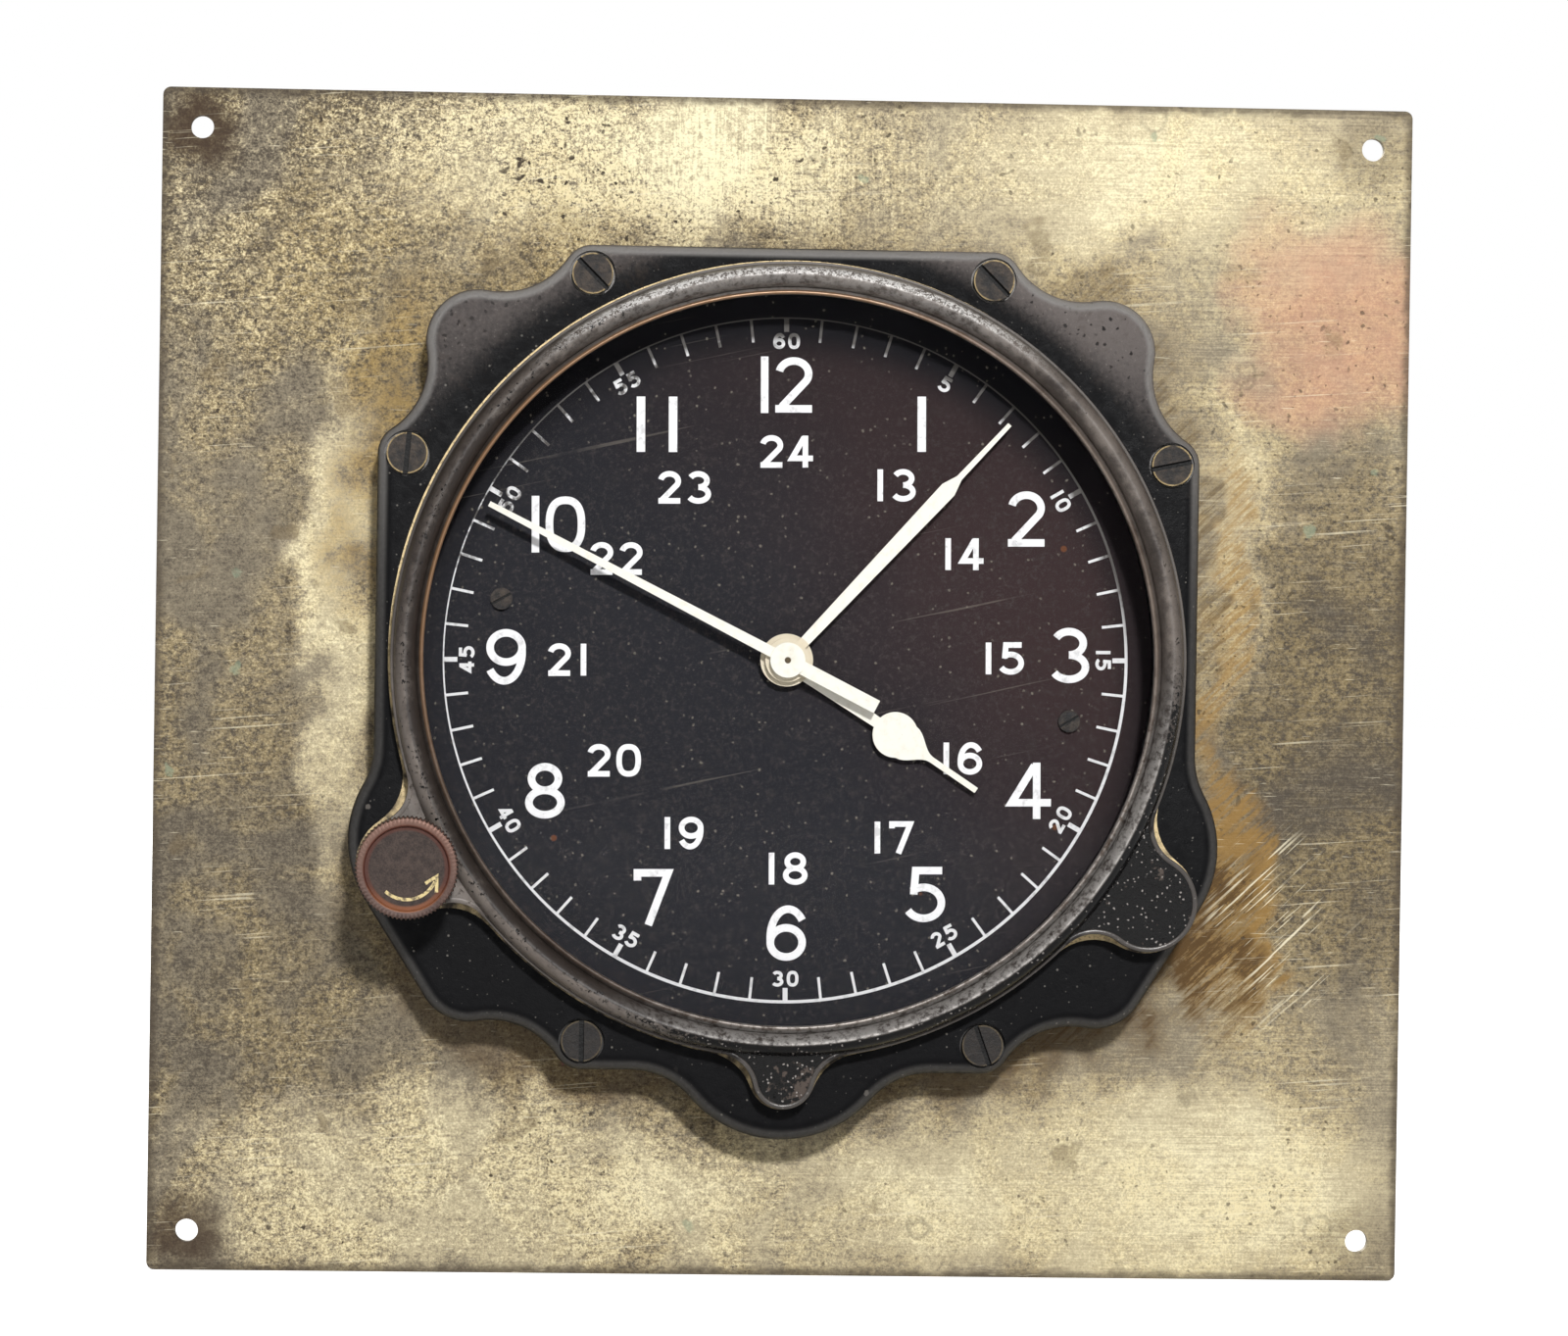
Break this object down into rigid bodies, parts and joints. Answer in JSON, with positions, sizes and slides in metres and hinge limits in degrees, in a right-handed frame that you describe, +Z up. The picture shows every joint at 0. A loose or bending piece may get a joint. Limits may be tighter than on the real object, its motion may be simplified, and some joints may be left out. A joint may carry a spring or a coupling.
{
  "type": "aircraft panel clock",
  "caption": "Round panel clock with a black scalloped housing, lobed bezel, winding knob, three white hands and a wound movement, on a flat plate with corner holes.",
  "frame": {"origin": "centre of the plate's four corner holes, on the plate's back face", "axes": "+Z is up the dial, the dial faces -Y, and +X is to the right as one looks at the dial"},
  "size_m": [0.127, 0.0536, 0.1194],
  "materials": {
    "plated_brass": "worn nickel plate",
    "black_enamel": "gloss enamel",
    "worn_paint": "worn paint",
    "black_steel": "blackened",
    "brass": "satin",
    "steel": "satin",
    "nickel": "satin nickel plate",
    "blued_steel": "blued",
    "clear_glass": "polished",
    "gasket_rubber": "matte",
    "dial_black": "matte with white print",
    "hand_white": "matte",
    "copper_knob": "worn, dark face",
    "ruby": "polished"
  },
  "bodies": {
    "clock": {"mounting_plate": "plated_brass", "panel_screws": "black_steel", "panel_washers": "steel", "front_housing": "black_enamel", "housing_screws": "black_steel", "bezel": "worn_paint", "bezel_shim": "brass", "bezel_screws": "steel", "crystal": "clear_glass", "crystal_gasket": "gasket_rubber", "dial": "dial_black", "dial_posts": "brass", "dial_screws": "black_steel", "stem_bushing": "brass", "bushing_nut": "brass", "idler_post": "steel", "click_post": "brass", "click_spring": "blued_steel", "center_cock": "brass", "center_cock_screw": "steel", "hairspring": "blued_steel", "balance_cock": "brass", "balance_cock_screw": "steel", "main_plate": "nickel", "back_plate": "nickel", "plate_pillars": "brass", "pillar_screws": "steel", "movement_screws": "steel", "minute_wheel_post": "steel", "rear_can": "black_enamel", "regulator_plug": "brass"},
    "minute": {"center_arbor": "steel", "center_wheel": "brass", "cannon_pinion": "steel", "minute_hand": "hand_white"},
    "hour": {"hour_wheel": "brass", "hour_hand": "hand_white"},
    "motion": {"minute_wheel": "brass"},
    "third": {"third_arbor": "steel", "third_wheel": "brass"},
    "seconds": {"seconds_arbor": "steel", "fourth_wheel": "brass", "seconds_hand": "hand_white"},
    "escape": {"escape_arbor": "steel", "escape_wheel": "brass"},
    "barrel": {"barrel_drum": "brass", "barrel_cover": "brass", "mainspring": "blued_steel"},
    "winder": {"winding_pinion": "steel"},
    "knob": {"winding_knob": "copper_knob", "winding_stem": "steel"},
    "idler": {"idler_wheel": "brass"},
    "ratchet": {"ratchet_wheel": "brass", "ratchet_screw": "steel", "barrel_arbor": "steel"},
    "click": {"click": "steel"},
    "lever": {"pallet_lever": "steel", "pallet_stones": "ruby"},
    "balance": {"balance_wheel": "brass", "balance_staff": "steel"}
  },
  "joints": [
    {"name": "minute_turn", "type": "hinge", "parent": "clock", "child": "minute", "pos_m": [0, 0, 0.0028], "axis": [0, 1, 0], "continuous": true},
    {"name": "hour_turn", "type": "hinge", "parent": "clock", "child": "hour", "pos_m": [0, 0, 0.0028], "axis": [0, 1, 0], "continuous": true},
    {"name": "minute_wheel_turn", "type": "hinge", "parent": "clock", "child": "motion", "pos_m": [0.0042, 0, 0.01007], "axis": [0, 1, 0], "continuous": true},
    {"name": "third_turn", "type": "hinge", "parent": "clock", "child": "third", "pos_m": [0.00335, 0, 0.01532], "axis": [0, 1, 0], "continuous": true},
    {"name": "seconds_turn", "type": "hinge", "parent": "clock", "child": "seconds", "pos_m": [0, 0, 0.0028], "axis": [0, 1, 0], "continuous": true},
    {"name": "escape_turn", "type": "hinge", "parent": "clock", "child": "escape", "pos_m": [0.01105, 0, -0.00358], "axis": [0, 1, 0], "continuous": true},
    {"name": "barrel_turn", "type": "hinge", "parent": "clock", "child": "barrel", "pos_m": [-0.01574, 0, -0.00593], "axis": [0, 1, 0], "continuous": true},
    {"name": "wind_turn", "type": "hinge", "parent": "clock", "child": "winder", "pos_m": [-0.0377, 0, -0.0181], "axis": [0, 1, 0], "continuous": true},
    {"name": "idler_turn", "type": "hinge", "parent": "clock", "child": "idler", "pos_m": [-0.02935, 0, -0.01347], "axis": [0, 1, 0], "continuous": true},
    {"name": "ratchet_turn", "type": "hinge", "parent": "clock", "child": "ratchet", "pos_m": [-0.01574, 0, -0.00593], "axis": [0, 1, 0], "continuous": true},
    {"name": "knob_pull", "type": "slide", "parent": "winder", "child": "knob", "axis": [0, -1, 0], "range_m": [0, 0.0018]},
    {"name": "balance_swing", "type": "hinge", "parent": "clock", "child": "balance", "pos_m": [0.01377, 0, -0.01686], "axis": [0, 1, 0], "range_deg": [-140, 140], "stiffness_Nm_per_rad": 0.0000076, "deforming": ["hairspring"]},
    {"name": "lever_rock", "type": "hinge", "parent": "clock", "child": "lever", "pos_m": [0.01202, 0, -0.0083], "axis": [0, 1, 0], "range_deg": [-5, 5]},
    {"name": "click_lift", "type": "hinge", "parent": "clock", "child": "click", "pos_m": [-0.02116, 0, 0.00569], "axis": [0, -1, 0], "range_deg": [0, 10], "stiffness_Nm_per_rad": 0.0001, "springref_deg": -17.19, "deforming": ["click_spring"]}
  ],
  "couplings": [
    {"joint": "hour_turn", "follows": "minute_turn", "ratio": 0.083333},
    {"joint": "minute_wheel_turn", "follows": "minute_turn", "ratio": -0.33333},
    {"joint": "third_turn", "follows": "minute_turn", "ratio": -8},
    {"joint": "seconds_turn", "follows": "minute_turn", "ratio": 60},
    {"joint": "escape_turn", "follows": "minute_turn", "ratio": -600},
    {"joint": "barrel_turn", "follows": "minute_turn", "ratio": -0.083333},
    {"joint": "idler_turn", "follows": "wind_turn", "ratio": -0.46154},
    {"joint": "ratchet_turn", "follows": "wind_turn", "ratio": 0.33333}
  ]
}
